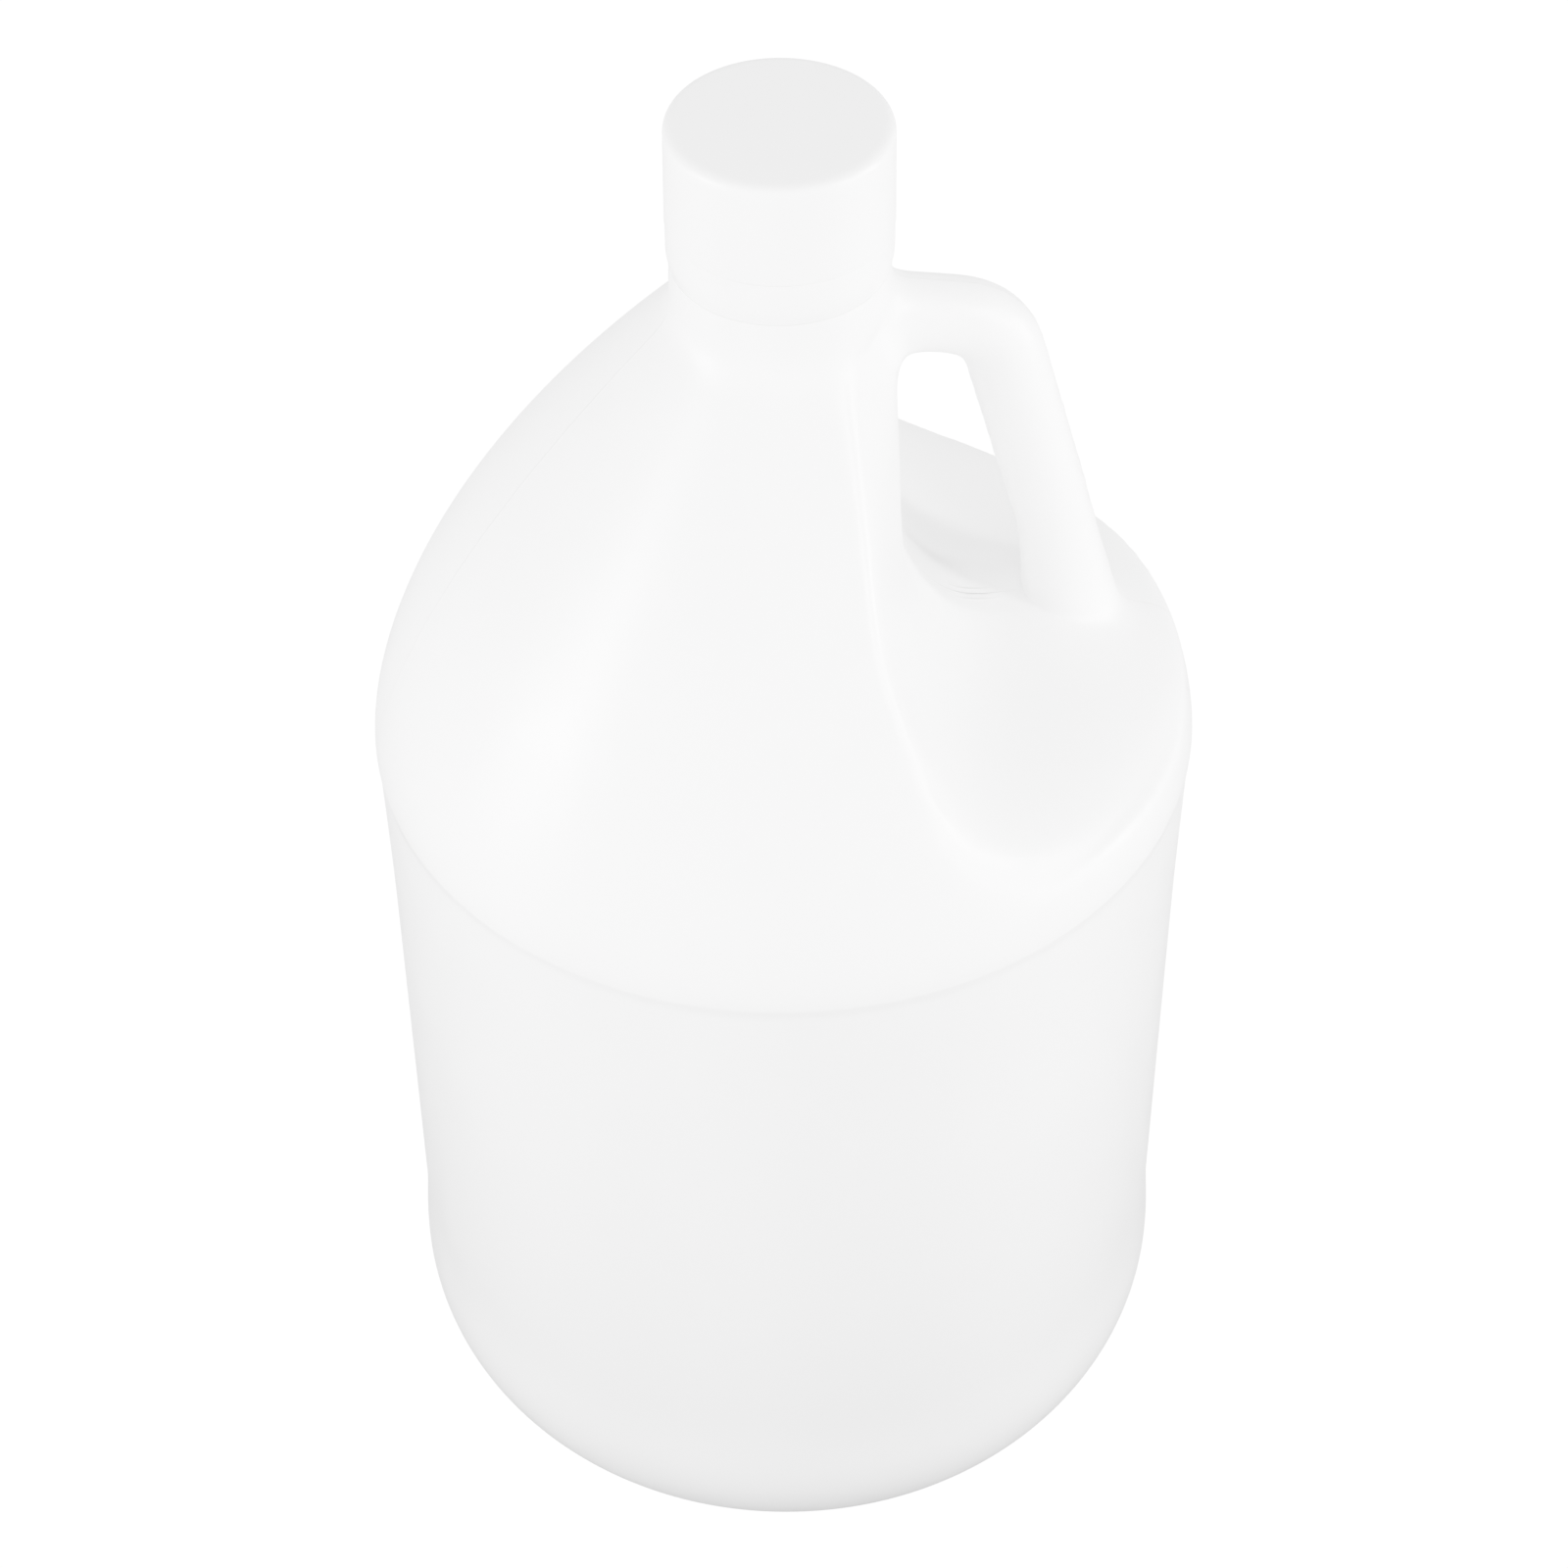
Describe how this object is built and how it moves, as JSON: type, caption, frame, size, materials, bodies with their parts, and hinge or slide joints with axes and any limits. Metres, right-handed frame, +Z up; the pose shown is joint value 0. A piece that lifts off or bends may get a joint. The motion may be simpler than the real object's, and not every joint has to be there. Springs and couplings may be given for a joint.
{
  "type": "plastic jug",
  "caption": "Round one-gallon white plastic jug with a stepped ridge, a moulded finger handle beside the neck, a tamper ring and a screw cap.",
  "frame": {"origin": "middle of the base, on the surface that the jug stands on", "axes": "+Z up along the axis of the body, +X to the handle's side"},
  "size_m": [0.1584, 0.1584, 0.3082],
  "materials": {
    "jug_plastic": "satin, slightly milky",
    "ring_plastic": "satin",
    "cap_plastic": "satin"
  },
  "bodies": {
    "root": {"jug": "jug_plastic", "tamper_ring": "ring_plastic", "cap": "cap_plastic"}
  },
  "joints": []
}
